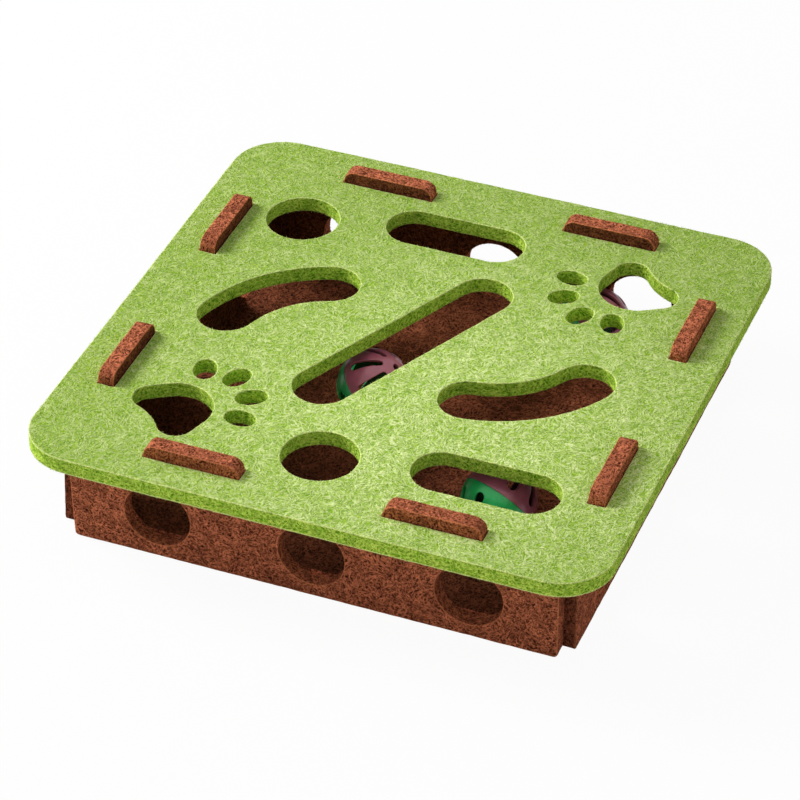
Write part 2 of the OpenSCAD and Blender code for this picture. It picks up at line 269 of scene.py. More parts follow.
class MazeFeltSettings(bpy.types.PropertyGroup):
    """Sizes and colours of the felt panels."""

    edge_round: length_setting("Edge rounding", "Radius of the soft cut edges", 0.0006)
    corner_round: length_setting("Corner rounding", "Radius of the walls' corners at the ground", 0.0022)
    grid: length_setting("Grid", "Spacing of the points on the flat faces", 0.004)
    wave: length_setting("Wave", "Height of the slow waves in a panel", 0.00025)
    ragged: length_setting("Ragged edge", "How far a cut edge wanders", 0.0002)
    flare: length_setting("Flare", "How far the left wall's front end stands out at the ground", 0.0034)
    lean: length_setting("Lean", "How far the front wall's left end stands out at the top board", 0.0016)
    green_fibre: length_setting("Green fibre", "Length of the fibres drawn in the green felt", 0.0065)
    brown_fibre: length_setting("Brown fibre", "Length of the fibres drawn in the brown felt", 0.0045)
    fibre_radius: length_setting("Fibre radius", "Radius of a loose fibre", 0.00006)
    edge_fibre: length_setting("Edge fibre", "Longest loose fibre on a cut edge", 0.0010)
    edge_spacing: length_setting("Edge spacing", "Length of cut edge for each loose fibre", 0.0008)
    nap_fibre: length_setting("Nap fibre", "Longest loose fibre that lies on a face", 0.0050)
    nap_spacing: length_setting("Nap spacing", "Side of the square of face for each lying fibre", 0.0030)
    green: colour_setting("Green", "Ground of the top board", (0.385, 0.615, 0.042))
    green_dark: colour_setting("Green, dark", "Dark fibres of the top board", (0.19, 0.39, 0.010))
    green_pale: colour_setting("Green, pale", "Pale fibres of the top board", (0.83, 0.95, 0.42))
    green_cut: colour_setting("Green cut", "Ground of the board's edges", (0.265, 0.62, 0.017))
    green_cut_dark: colour_setting("Green cut, dark", "Dark fibres of its edges", (0.085, 0.25, 0.0025))
    green_cut_pale: colour_setting("Green cut, pale", "Pale fibres of its edges", (0.77, 0.98, 0.15))
    # Painted highlight: the rim colours stand in for the lit fuzz on the rims of the board and the walls
    green_rim: colour_setting("Green rim", "Fuzz on the rims of the board", (0.92, 1.0, 0.38))
    brown: colour_setting("Brown", "Ground of the walls", (0.090, 0.0175, 0.0063))
    brown_dark: colour_setting("Brown, dark", "Dark fibres of the walls", (0.030, 0.005, 0.0017))
    brown_pale: colour_setting("Brown, pale", "Bright fibres of the walls", (0.80, 0.242, 0.113))
    brown_cut: colour_setting("Brown cut", "Ground of the walls' edges", (0.115, 0.0235, 0.0085))
    brown_cut_dark: colour_setting("Brown cut, dark", "Dark fibres of edges", (0.030, 0.0048, 0.0016))
    brown_cut_pale: colour_setting("Brown cut, pale", "Bright fibres of edges", (0.78, 0.236, 0.113))
    brown_rim: colour_setting("Brown rim", "Fuzz on the rims of the walls", (0.95, 0.31, 0.13))
    # Painted shade: the faces inside the box are darkened by this share in place of the shade that falls
    # there
    inside_shade: bpy.props.FloatProperty(
        name="Inside shade", description="How much darker the faces inside the box are",
        default=0.62, min=0, max=1,
    )


class MazeBallSettings(bpy.types.PropertyGroup):
    """Sizes and colours of the bell balls."""

    edge_round: length_setting("Edge rounding", "Radius of the moulded edges", 0.0003)
    mauve: colour_setting("Mauve", "Plastic of the mauve halves", (0.66, 0.17, 0.26))
    green: colour_setting("Green", "Plastic of the green halves", (0.03, 0.75, 0.19))
    brass: colour_setting("Brass", "Sheet of the bells", (0.80, 0.56, 0.20))
    steel: colour_setting("Steel", "Pellets in the bells", (0.60, 0.60, 0.62))


class MazeStageSettings(bpy.types.PropertyGroup):
    """Camera, lamps and floor."""

    camera_place: bpy.props.FloatVectorProperty(
        name="Camera", description="Place of the camera",
        default=(0.53376, -1.38248, 1.14335), subtype="TRANSLATION",
    )
    camera_turn: bpy.props.FloatVectorProperty(
        name="Camera turn", description="Elevation, azimuth and roll of the view",
        default=(math.radians(37.0248), math.radians(21.325), math.radians(0.2724)), subtype="EULER",
    )
    lens: bpy.props.FloatProperty(
        name="Lens", description="Focal length on a 36 mm sensor, in millimetres", default=164.79, min=1
    )
    side_power: amount_setting("Side", "Power of the soft box at the left", 28)
    front_power: amount_setting("Front", "Power of the low soft box at the front", 0.50)
    overhead_power: amount_setting("Overhead", "Power of the overhead soft box", 2)
    sky: amount_setting("Sky", "Strength of the even light", 0.42)
    floor: colour_setting("Floor", "Colour of the floor", (0.75, 0.75, 0.75))


def add_node(tree, kind, **inputs):
    """Adds a shader node and sets the sockets that are named."""
    made = tree.nodes.new(kind)
    for name, value in inputs.items():
        made.inputs[name].default_value = value
    return made


def new_material(name):
    """A material with a plain Principled shader. Gives the material, its tree and the shader."""
    material = bpy.data.materials.new(name)
    material.use_nodes = True
    tree = material.node_tree
    return material, tree, tree.nodes["Principled BSDF"]


def object_place(tree):
    """A socket of the place on the piece."""
    return tree.nodes.new("ShaderNodeTexCoord").outputs["Object"]


def attribute(tree, name):
    """Sockets of a value that is kept with the points of a piece."""
    made = tree.nodes.new("ShaderNodeAttribute")
    made.attribute_name = name
    return made.outputs


def plug(tree, socket, value):
    """Links a socket to another, or sets it to a number or a colour."""
    if isinstance(value, bpy.types.NodeSocket):
        tree.links.new(value, socket)
    elif isinstance(value, (int, float)):
        socket.default_value = value
    else:
        socket.default_value = (*value, 1)


def math_node(tree, operation, first, second):
    """Joins two sockets or numbers by a sum, product or other operation."""
    made = tree.nodes.new("ShaderNodeMath")
    made.operation = operation
    plug(tree, made.inputs[0], first)
    plug(tree, made.inputs[1], second)
    return made.outputs[0]


def times(tree, first, second):
    """Product of two sockets or numbers."""
    return math_node(tree, "MULTIPLY", first, second)


def plus(tree, first, second):
    """Sum of two sockets or numbers."""
    return math_node(tree, "ADD", first, second)


def larger(tree, first, second):
    """The larger of two sockets or numbers."""
    return math_node(tree, "MAXIMUM", first, second)


def mix_colours(tree, share, first, second):
    """Mixes two colours, or sockets of colour, by a socket or number."""
    made = tree.nodes.new("ShaderNodeMix")
    made.data_type = "RGBA"
    # The node has like-named sockets for each kind of value, so those for colours go by number
    plug(tree, made.inputs[0], share)
    plug(tree, made.inputs[6], first)
    plug(tree, made.inputs[7], second)
    return made.outputs[2]


def ramp(tree, value, low, high, start=0.0, end=1.0):
    """Stretches a socket's values between low and high to the range from start to end."""
    ends = {"From Min": low, "From Max": high, "To Min": start, "To Max": end}
    made = add_node(tree, "ShaderNodeMapRange", **ends)
    tree.links.new(value, made.inputs["Value"])
    return made.outputs["Result"]


def between(tree, share, start, end):
    """Goes from start to end as a socket goes from 0 to 1."""
    return ramp(tree, share, 0, 1, start, end)


def noise_at(tree, place, scale, detail=2.0, roughness=0.5):
    """Sockets of a noise texture that is read at a place socket."""
    made = add_node(tree, "ShaderNodeTexNoise", Scale=scale, Detail=detail, Roughness=roughness)
    tree.links.new(place, made.inputs["Vector"])
    return made.outputs


def split_colour(tree, colour):
    """The three parts of a colour socket."""
    made = tree.nodes.new("ShaderNodeSeparateColor")
    tree.links.new(colour, made.inputs["Color"])
    return made.outputs


def set_relief(tree, shader, height, strength, depth):
    """Gives a shader a fine relief from a socket of heights."""
    bump = add_node(tree, "ShaderNodeBump", Strength=strength, Distance=depth)
    tree.links.new(height, bump.inputs["Height"])
    tree.links.new(bump.outputs["Normal"], shader.inputs["Normal"])


def main_axis(direction):
    """Number of the axis that a direction runs along."""
    return max(range(3), key=lambda i: abs(direction[i]))


def strands(tree, place, patches, through, fibre, kind):
    """Thin crossing fibres in the plane of a panel: crests of noise stretched along several directions."""
    turns, length, width, reach = kind
    axis = main_axis(through)
    lengthwise = 1 if axis == 0 else 0
    found = None
    for number, degrees in enumerate(turns):
        mapping = tree.nodes.new("ShaderNodeMapping")
        mapping.vector_type = "TEXTURE"
        rotation = [0, 0, 0]
        rotation[axis] = math.radians(degrees)
        scale = [width * fibre] * 3
        scale[lengthwise] = length * fibre
        mapping.inputs["Rotation"].default_value = rotation
        mapping.inputs["Scale"].default_value = scale
        mapping.inputs["Location"].default_value = [part * number for part in STRAND_OFFSET]
        tree.links.new(place, mapping.inputs["Vector"])
        wave = noise_at(tree, mapping.outputs["Vector"], scale=1.0, detail=0.0)["Fac"]
        away = math_node(tree, "ABSOLUTE", plus(tree, wave, -NOISE_MIDDLE), 0)
        # Directions take turns in pairs, so the fibres of a patch run much the same way
        ends = PATCH_RANGE if number % 2 else PATCH_RANGE[::-1]
        crest = ramp(tree, away, reach, STRAND_CORE * reach)
        drawn = times(tree, crest, ramp(tree, patches[number // 2], *ends))
        found = drawn if found is None else larger(tree, found, drawn)
    return found


def felt_colours(felt, name):
    """The ground, dark and pale colours of a felt, by the first word of their settings."""
    return [tuple(getattr(felt, name + part)) for part in ("", "_dark", "_pale")]


def felt_material(name, felt, dyed, through):
    """Heathered pressed felt: crossing pale and dark fibres over a ground, deeper on the cut edges, with a
    painted rim highlight, painted inside shade and a painted falloff of light.
    """
    material, tree, shader = new_material(name)
    place = object_place(tree)
    # The fibres wander, so the place is shaken before they are drawn
    shake = tree.nodes.new("ShaderNodeVectorMath")
    shake.operation = "MULTIPLY_ADD"
    shake.inputs[1].default_value = (SHAKE, SHAKE, SHAKE)
    tree.links.new(noise_at(tree, place, SHAKE_SCALE, detail=1.0)["Color"], shake.inputs[0])
    tree.links.new(place, shake.inputs[2])
    shaken = shake.outputs["Vector"]

    patches = split_colour(tree, noise_at(tree, place, PATCH_SCALE, detail=1.0)["Color"])
    fibre = getattr(felt, dyed + "_fibre")
    kinds = (PALE_STRANDS, DARK_STRANDS, HAIR_STRANDS)
    pale, dark, hair = (strands(tree, shaken, patches, through, fibre, kind) for kind in kinds)
    blotch = ramp(tree, noise_at(tree, place, BLOTCH_SCALE, detail=3.0)["Fac"], *BLOTCH_RANGE)
    tufts = noise_at(tree, place, TUFT_SCALE, roughness=FINE_ROUGHNESS)["Fac"]
    grain = noise_at(tree, place, GRAIN_SCALE, roughness=FINE_ROUGHNESS)["Fac"]
    on_cut, on_rim, on_inside = split_colour(tree, attribute(tree, "zone")["Color"])

    # Cut edges show the ends of the fibres as small tufts
    tuft_share = between(tree, on_cut, FACE_TUFTS[dyed], 1.0)
    pale_tufts = times(tree, ramp(tree, tufts, *PALE_TUFT_RANGE), tuft_share)
    dark_tufts = times(tree, ramp(tree, tufts, *DARK_TUFT_RANGE), tuft_share)
    pale = larger(tree, pale, larger(tree, times(tree, hair, HAIR_SHARE), pale_tufts))
    dark = larger(tree, dark, dark_tufts)

    # Painted light: the faces are palest round one place of the panel and darker away from it
    apart = tree.nodes.new("ShaderNodeVectorMath")
    apart.operation = "DISTANCE"
    apart.inputs[1].default_value = PAINTED_LIGHT_MIDDLE
    tree.links.new(place, apart.inputs[0])
    far = ramp(tree, apart.outputs["Value"], *PAINTED_LIGHT_FADE)
    light_falloff = times(tree, far, between(tree, on_cut, 1.0, PAINTED_LIGHT_ON_CUT))
    pale = times(tree, pale, between(tree, light_falloff, 1.0, 1.0 - PAINTED_LIGHT_ON_FIBRES * PAINTED_LIGHT_DEPTH[dyed]))

    pairs = zip(felt_colours(felt, dyed), felt_colours(felt, dyed + "_cut"))
    ground, darks, pales = (mix_colours(tree, on_cut, *pair) for pair in pairs)
    dark_share = times(tree, dark, between(tree, blotch, *DARK_BLOTCH))
    pale_share = times(tree, pale, between(tree, blotch, *PALE_BLOTCH))
    # Painted highlight: the rims are lightened towards a bright rim colour in place of the lit fuzz on them
    rim_share = times(tree, on_rim, ramp(tree, grain, *RIM_RANGE, *RIM_HIGHLIGHT))
    colour = mix_colours(tree, dark_share, ground, darks)
    colour = mix_colours(tree, pale_share, colour, pales)
    colour = mix_colours(tree, rim_share, colour, getattr(felt, dyed + "_rim"))

    # Painted shade and painted light: the faces that are only seen from inside the box are darker, and the
    # faces grow darker away from their palest place
    falloff_tone = between(tree, light_falloff, 1.0, 1.0 - PAINTED_LIGHT_DEPTH[dyed])
    inside_tone = between(tree, on_inside, 1.0, 1.0 - felt.inside_shade)
    grain_tone = ramp(tree, grain, *MIDDLE_RANGE, *GRAIN_TONE)
    toned = tree.nodes.new("ShaderNodeVectorMath")
    toned.operation = "SCALE"
    tree.links.new(colour, toned.inputs[0])
    tree.links.new(times(tree, times(tree, falloff_tone, inside_tone), grain_tone), toned.inputs["Scale"])
    tree.links.new(toned.outputs["Vector"], shader.inputs["Base Color"])

    height = plus(tree, times(tree, pale, FIBRE_RELIEF), times(tree, grain, GRAIN_RELIEF))
    height = math_node(tree, "SUBTRACT", height, times(tree, dark, FIBRE_RELIEF))
    height = plus(tree, height, times(tree, blotch, BLOTCH_RELIEF))
    set_relief(tree, shader, height, strength=0.7, depth=0.0005)
    shader.inputs["Roughness"].default_value = 0.95
    shader.inputs["Specular IOR Level"].default_value = 0.04
    return material


def fibre_material(name, ground, pale):
    """Loose fibres: from the felt's ground colour to its pale one."""
    material, tree, shader = new_material(name)
    mottle = noise_at(tree, object_place(tree), LOOSE_SCALE, detail=1.0)["Fac"]
    spread = ramp(tree, mottle, *LOOSE_RANGE)
    tree.links.new(mix_colours(tree, spread, ground, pale), shader.inputs["Base Color"])
    shader.inputs["Roughness"].default_value = 0.8
    shader.inputs["Specular IOR Level"].default_value = 0.15
    return material


def dimmed(colour, share):
    """A colour of which only a share is left."""
    return tuple(share * part for part in colour)


def plastic_material(name, colour):
    """Moulded half-gloss plastic with faint flow marks and fine scuffs, and painted shade in the hollow of
    the ball.
    """
    material, tree, shader = new_material(name)
    place = object_place(tree)
    flow = ramp(tree, noise_at(tree, place, FLOW_SCALE, detail=3.0)["Fac"], *MIDDLE_RANGE)
    shown = mix_colours(tree, flow, dimmed(colour, FLOW_COLOUR), colour)
    hollow = attribute(tree, "inside")["Fac"]
    shown = mix_colours(tree, hollow, shown, dimmed(colour, HOLLOW_SHADE))
    tree.links.new(shown, shader.inputs["Base Color"])
    scuff = noise_at(tree, place, SCUFF_SCALE, detail=3.0)["Fac"]
    roughness = between(tree, scuff, *(PLASTIC_ROUGHNESS + change for change in SCUFFS))
    tree.links.new(roughness, shader.inputs["Roughness"])
    set_relief(tree, shader, flow, strength=0.10, depth=0.0002)
    shader.inputs["Coat Weight"].default_value = 0.25
    shader.inputs["Coat Roughness"].default_value = 0.18
    return material


def metal_material(name, colour, roughness):
    """Pressed metal with fine draw marks."""
    material, tree, shader = new_material(name)
    place = object_place(tree)
    tone = ramp(tree, noise_at(tree, place, TONE_SCALE)["Fac"], *MIDDLE_RANGE)
    shown = mix_colours(tree, tone, dimmed(colour, DULL_COLOUR), colour)
    tree.links.new(shown, shader.inputs["Base Color"])
    marks = noise_at(tree, place, MARK_SCALE, detail=3.0)["Fac"]
    marked = between(tree, marks, *(roughness + change for change in DRAW_MARKS))
    tree.links.new(marked, shader.inputs["Roughness"])
    shader.inputs["Metallic"].default_value = 1.0
    return material


def merged_copy(node, weld):
    """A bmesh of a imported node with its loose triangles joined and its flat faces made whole."""
    bm = bmesh.new()
    bm.from_mesh(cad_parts[node].data)
    bmesh.ops.remove_doubles(bm, verts=bm.verts, dist=weld)
    bmesh.ops.dissolve_degenerate(bm, edges=bm.edges, dist=weld * TINY_EDGE)
    bmesh.ops.dissolve_limit(bm, angle_limit=FLAT_ANGLE, verts=bm.verts, edges=bm.edges)
    bm.normal_update()
    return bm


def round_edges(bm, edges, radius, segments):
    """Rounds edges of a bmesh."""
    bmesh.ops.bevel(
        bm, geom=edges, offset=radius, offset_type="OFFSET", segments=segments, profile=0.5,
        affect="EDGES", clamp_overlap=False, material=-1,
    )


def cut_along(bm, place, axis):
    """Cuts all of a bmesh along the plane that lies across an axis at a place."""
    geom = bm.verts[:] + bm.edges[:] + bm.faces[:]
    bmesh.ops.bisect_plane(bm, geom=geom, dist=ON_PLANE, plane_co=place, plane_no=axis)


def cut_to_grid(bm, spacing):
    """Puts points on the flat faces by cutting the mesh along evenly spaced planes."""
    low = Vector([min(v.co[i] for v in bm.verts) for i in range(3)])
    high = Vector([max(v.co[i] for v in bm.verts) for i in range(3)])
    for i, axis in enumerate((X_AXIS, Y_AXIS, Z_AXIS)):
        count = int((high[i] - low[i]) / spacing)
        for step in range(1, count):
            cut_along(bm, axis * (low[i] + (high[i] - low[i]) * step / count), axis)


def split_wide_faces(bm):
    """Splits the faces that have more than four corners into triangles."""
    bmesh.ops.triangulate(bm, faces=[f for f in bm.faces if len(f.verts) > 4])


def link_mesh(name, mesh, material):
    """Makes a mesh a smooth shaded object of one material."""
    mesh.materials.append(material)
    mesh.shade_smooth()
    made = bpy.data.objects.new(name, mesh)
    bpy.context.scene.collection.objects.link(made)
    return made


def add_object(name, bm, material):
    """Makes a bmesh a smooth shaded object of one material."""
    mesh = bpy.data.meshes.new(name)
    bm.to_mesh(mesh)
    bm.free()
    return link_mesh(name, mesh, material)


def weigh_normals(piece):
    """Lets the large flat faces set the shading, so only the rounded edges look round."""
    modifier = piece.modifiers.new("weighted", "WEIGHTED_NORMAL")
    modifier.mode = "FACE_AREA"
    modifier.weight = 100


def unit(value):
    """A number, held between 0 and 1."""
    return min(1.0, max(0.0, value))


def fade(value, ends):
    """Goes from 0 at the first end to 1 at the second, and stays so beyond them."""
    start, end = ends
    return unit((value - start) / (end - start))


def wander(place, step, seed):
    """A vector noise with a given length of wave, for uneven felt."""
    return noise.noise_vector(place / step + Vector([part * seed for part in SEED_OFFSET]))


def rim_edges(bm, through):
    """The edges where a face of a panel meets a cut."""
    found = []
    for edge in bm.edges:
        if len(edge.link_faces) == 2:
            low, high = sorted(abs(f.normal.dot(through)) for f in edge.link_faces)
            if low < MOSTLY and high > OF_FACE:
                found.append(edge)
    return found


def ground_corners(bm, through):
    """The edges through the thickness of a wall at its two corners on the ground."""
    ground = min(v.co.z for v in bm.verts)
    found = []
    for edge in bm.edges:
        along = (edge.verts[1].co - edge.verts[0].co).normalized()
        at_ground = max(v.co.z for v in edge.verts) < ground + FELT_WELD
        if at_ground and abs(along.dot(through)) > STRAIGHT and edge.calc_face_angle(0) > SHARP_ANGLE:
            found.append(edge)
    return found


def place_order(*places):
    """A key that sorts by place, because the order of a rounded mesh's edges differs from run to run."""
    return [round(part, PLACE_DIGITS) for place in places for part in place]


def rim_line(edge, through):
    """Ends of a rim edge and its two outward face directions, the face of the panel first."""
    first, second = (f.normal.copy() for f in edge.link_faces)
    if abs(first.dot(through)) < abs(second.dot(through)):
        first, second = second, first
    start, end = sorted((v.co.copy() for v in edge.verts), key=place_order)
    return start, end, first, second


def unbent(place):
    """The shift of a panel that stands straight."""
    return Vector()


def inner_face(place, facing):
    """The inside shade of a panel that is in shade only on its inner face."""
    return fade(facing, INSIDE_FADE)


def mark_zones(bm, through, rim_share, painted_lower_highlight, shaded):
    """Keeps with each point of a panel how much it is cut edge, how much of the painted rim highlight it
    takes and how much of the painted inside shade.
    """
    layer = bm.verts.layers.float_color.new("zone")
    for v in bm.verts:
        facing = v.normal.dot(through)
        flat = abs(facing)
        on_rim = rim_share * min(fade(flat, RIM_FROM_FACE), fade(flat, RIM_FROM_CUT))
        # The lower rim of the board takes the painted highlight all over
        if painted_lower_highlight and flat < CUT_FADE[0] and painted_lower_highlight(v.co):
            on_rim = max(on_rim, fade(facing, LOWER_HIGHLIGHT_FADE))
        v[layer] = (fade(flat, CUT_FADE), on_rim, shaded(v.co, facing), 1)


def make_uneven(bm, through, felt, seed, bend):
    """Gives a panel its slow waves, its ragged cut edges and its bend."""
    noise.seed_set(NOISE_SEED)
    shifts = []
    for v in bm.verts:
        slow = wander(v.co, WAVE_STEP, seed).dot(through) * felt.wave
        quick = wander(v.co, RAGGED_STEP, seed + RAGGED_SEED).dot(v.normal) * felt.ragged
        shifts.append(through * slow + v.normal * quick + bend(v.co))
    for v, shift in zip(bm.verts, shifts):
        v.co += shift


def felt_panel(node, material, felt, seed, bend=unbent, painted_lower_highlight=None, shaded=inner_face):
    """A soft felt copy of a panel's node, and the lines of its rims.

    bend gives the shift of a place, the argument after it says where the lower rim takes the painted rim
    highlight all over, and shaded gives the share of the painted inside shade at a place with a given
    direction through the panel.
    """
    through = THROUGH[node]
    bm = merged_copy(node, FELT_WELD)
    if node in WALLS:
        round_edges(bm, ground_corners(bm, through), felt.corner_round, CORNER_SEGMENTS)
        bm.normal_update()
    edges = rim_edges(bm, through)
    rims = []
    for edge in edges:
        start, end, face, side = rim_line(edge, through)
        rims.append((start + bend(start), end + bend(end), face, side))
    rims.sort(key=lambda rim: place_order(*rim))
    round_edges(bm, edges, felt.edge_round, EDGE_SEGMENTS)
    bm.normal_update()
    outer = [f for f in bm.faces if f.normal.dot(through) < -LEVEL]
    bmesh.ops.inset_region(
        bm, faces=outer, thickness=RING_WIDTH * felt.edge_round, use_even_offset=True, use_boundary=True
    )
    cut_to_grid(bm, felt.grid)
    # A cut keeps the painted highlight of the board's lower rim in a narrow band
    if painted_lower_highlight:
        cut_along(bm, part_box(node)[0] + Z_AXIS * LOWER_HIGHLIGHT_HEIGHT * felt.edge_round, Z_AXIS)
    bm.normal_update()
    mark_zones(bm, through, RIM_SHARES.get(node, WALL_RIM_SHARE), painted_lower_highlight, shaded)
    make_uneven(bm, through, felt, seed, bend)
    split_wide_faces(bm)
    piece = add_object(node + "_felt", bm, material)
    weigh_normals(piece)
    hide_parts(node)
    return piece, rims


def fibre_mesh(name, paths, radius, material):
    """A mesh of many thin fibres, each along its own short path."""
    curve = bpy.data.curves.new(name, "CURVE")
    curve.dimensions = "3D"
    curve.bevel_depth = radius
    curve.bevel_resolution = 0
    curve.use_fill_caps = True
    for path in paths:
        spline = curve.splines.new("POLY")
        spline.points.add(len(path) - 1)
        for point, place in zip(spline.points, path):
            point.co = (*place, 1)
        spline.points[-1].radius = FIBRE_TIP
    maker = bpy.data.objects.new(name, curve)
    mesh = bpy.data.meshes.new_from_object(maker)
    bpy.data.objects.remove(maker)
    bpy.data.curves.remove(curve)
    mesh.name = name
    return link_mesh(name, mesh, material)


def random_vector(draw):
    """A vector whose parts lie between -1 and 1."""
    return Vector((draw.uniform(-1, 1), draw.uniform(-1, 1), draw.uniform(-1, 1)))


def fibre_path(root, heading, length, steps, bend, draw):
    """Points of a fibre that starts along a heading and turns at each step, drawn aside by bend."""
    path = [root]
    for _ in range(steps):
        path.append(path[-1] + heading * length / steps)
        heading = (heading + random_vector(draw) * FIBRE_TURN + bend).normalized()
    return path


def edge_fibres(name, rims, felt, material, draw, keep):
    """Loose fibres that stand out of the cut edges."""
    paths = []
    for start, end, face, side in rims:
        along = end - start
        count = along.length / felt.edge_spacing
        count = int(count) + (1 if draw.random() < count % 1 else 0)
        for _ in range(count):
            at = start + along * draw.random()
            if not keep(at):
                continue
            lean = draw.uniform(0, math.pi / 2)
            out = face * math.cos(lean) + side * math.sin(lean)
            root = at - (face + side) * felt.edge_round + out * felt.edge_round * EDGE_ROOT
            length = felt.edge_fibre * draw.uniform(EDGE_SHORTEST, 1.0)
            slant = along.normalized() * draw.uniform(-EDGE_SLANT, EDGE_SLANT)
            heading = (out + slant + random_vector(draw) * EDGE_STRAY).normalized()
            paths.append(fibre_path(root, heading, length, EDGE_STEPS, out * EDGE_BACK, draw))
    return fibre_mesh(name, paths, felt.fibre_radius, material)


def surface_of(mesh):
    """The faces of a mesh, ready to be searched."""
    return BVHTree.FromPolygons([v.co for v in mesh.vertices], [p.vertices for p in mesh.polygons])


def clear_of_cuts(surface, place, outward, margin):
    """True where a panel's outer face reaches round a place by a margin."""
    near = surface.find_nearest_range(place, margin)
    return bool(near) and all(normal.dot(outward) > STRAIGHT for _, normal, _, _ in near)


def nap_fibres(name, node, piece, felt, material, draw):
    """Loose fibres that lie in gentle curves on the outer face of a panel."""
    outward = -THROUGH[node]
    axis = main_axis(outward)
    # Places are drawn on a side of the panel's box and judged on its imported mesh, which stays the same
    surface = surface_of(piece.data)
    packed = surface_of(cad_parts[node].data)
    low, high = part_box(node)
    area = math.prod(high[i] - low[i] for i in range(3) if i != axis)
    lifts = [NAP_END, *[NAP_MIDDLE] * (NAP_STEPS - 1), NAP_END]
    paths = []
    for _ in range(int(area / felt.nap_spacing ** 2)):
        at = Vector([draw.uniform(low[i], high[i]) for i in range(3)])
        at[axis] = high[axis] if outward[axis] > 0 else low[axis]
        heading = random_vector(draw)
        heading = (heading - outward * heading.dot(outward)).normalized()
        length = felt.nap_fibre * draw.uniform(NAP_SHORTEST, 1.0)
        path = fibre_path(at, heading, length, NAP_STEPS, Vector(), draw)
        for place in path:
            place[axis] = at[axis]
        # Each point is dropped onto the face, and a fibre that comes near a cut is left out
        under = [surface.ray_cast(p + outward * NAP_REACH, -outward, 2 * NAP_REACH)[0] for p in path]
        if None not in under and all(clear_of_cuts(packed, p, outward, felt.edge_round) for p in path):
            paths.append([hit + outward * lift * felt.fibre_radius for hit, lift in zip(under, lifts)])
    return fibre_mesh(name, paths, felt.fibre_radius, material)


class MazeTopBoard(bpy.types.Operator):
    """Makes the green felt top board and the loose fibres on its cut edges and its face"""

    bl_idname = "maze.top_board"
    bl_label = "Top board"

    def execute(self, context):
        felt = context.scene.maze_felt
        material = felt_material("green_felt", felt, "green", Z_AXIS)
        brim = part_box("top_board")[1].x - BRIM

        def on_outline(place):
            """True along the outline of the board."""
            x, y = abs(place.x), abs(place.y)
            return max(x, y) > brim or x + y > 2 * brim - CORNER

        piece, rims = felt_panel("top_board", material, felt, BOARD_WAVE_SEED, painted_lower_highlight=on_outline)
        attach(piece, "lid")
        outer, inner = (abs(corner.y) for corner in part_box("front_wall"))

        def clear_of_tabs(at):
            """False in the slots of the wall tabs, where the tabs fill the gap."""
            reach = max(abs(at.x), abs(at.y))
            return not inner - PRESSED < reach < outer + PRESSED

        loose = fibre_material("green_loose_fibre", felt.green, felt.green_pale)
        edge_draw = random.Random(BOARD_EDGE_SEED)
        nap_draw = random.Random(BOARD_NAP_SEED)
        fuzz = edge_fibres("top_board_edge_fibres", rims, felt, loose, edge_draw, clear_of_tabs)
        nap = nap_fibres("top_board_nap", "top_board", piece, felt, loose, nap_draw)
        for made in (fuzz, nap):
            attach(made, "lid")
        return {"FINISHED"}


class MazeWalls(bpy.types.Operator):
    """Makes the brown felt walls, the base panel and the loose fibres on the walls"""

    bl_idname = "maze.walls"
    bl_label = "Walls and base"

    def execute(self, context):
        felt = context.scene.maze_felt
        names = (("along", X_AXIS), ("across", Y_AXIS), ("flat", Z_AXIS))
        materials = [felt_material("brown_felt_" + name, felt, "brown", axis) for name, axis in names]
        loose = fibre_material("brown_loose_fibre", felt.brown, felt.brown_pale)
        draw = random.Random(WALL_SEED)
        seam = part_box("top_board")[0].z
        side_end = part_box("left_wall")[0].y
        front_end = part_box("front_wall")[0].x

        def in_sight(at):
            """True on the edges that are not pressed against the ground or the top board."""
            return at.z > PRESSED and abs(at.z - seam) > PRESSED

        def flared(place):
            """The shift of the left wall, whose free front end stands out, most at the ground."""
            reach = fade(place.y, (side_end + FLARE_LENGTH, side_end))
            rise = min(1.0 - FLARE_LOSS * place.z, (seam + FLARE_TOP - place.z) / FLARE_FADE)
            return Vector((-felt.flare * reach * reach * max(0.0, rise), 0, 0))

        def leaning(place):
            """The shift of the front wall, whose left end stands out, most at the top board."""
            reach = fade(place.x, (front_end + LEAN_LENGTH, front_end))
            return Vector((-felt.lean * reach * unit(place.z / seam), 0, 0))

        def tucked(place, facing):
            """The inside shade of a side wall, whose ends lie in the shade of the front and back walls."""
            if abs(place.y) > abs(side_end) - END_DEPTH:
                return END_SHADE
            return inner_face(place, facing)

        def sheltered(place, facing):
            """The inside shade of the base, which is deepest at the front and at the left."""
            lit = BASE_LIGHT * fade(place.y, BASE_LIGHT_Y) * fade(place.x, BASE_LIGHT_X)
            return inner_face(place, facing) * (1 - lit)

        bends = {"left_wall": flared, "front_wall": leaning}
        shades = {"left_wall": tucked, "right_wall": tucked, "base_panel": sheltered}
        for number, node in enumerate((*WALLS, "base_panel")):
            material = materials[main_axis(THROUGH[node])]
            bend = bends.get(node, unbent)
            shaded = shades.get(node, inner_face)
            piece, rims = felt_panel(node, material, felt, WALL_WAVE_SEED + number, bend, shaded=shaded)
            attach(piece, "box")
            if node in WALLS:
                fuzz = edge_fibres(node + "_edge_fibres", rims, felt, loose, draw, in_sight)
                nap = nap_fibres(node + "_nap", node, piece, felt, loose, draw)
                for made in (fuzz, nap):
                    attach(made, "box")
        return {"FINISHED"}


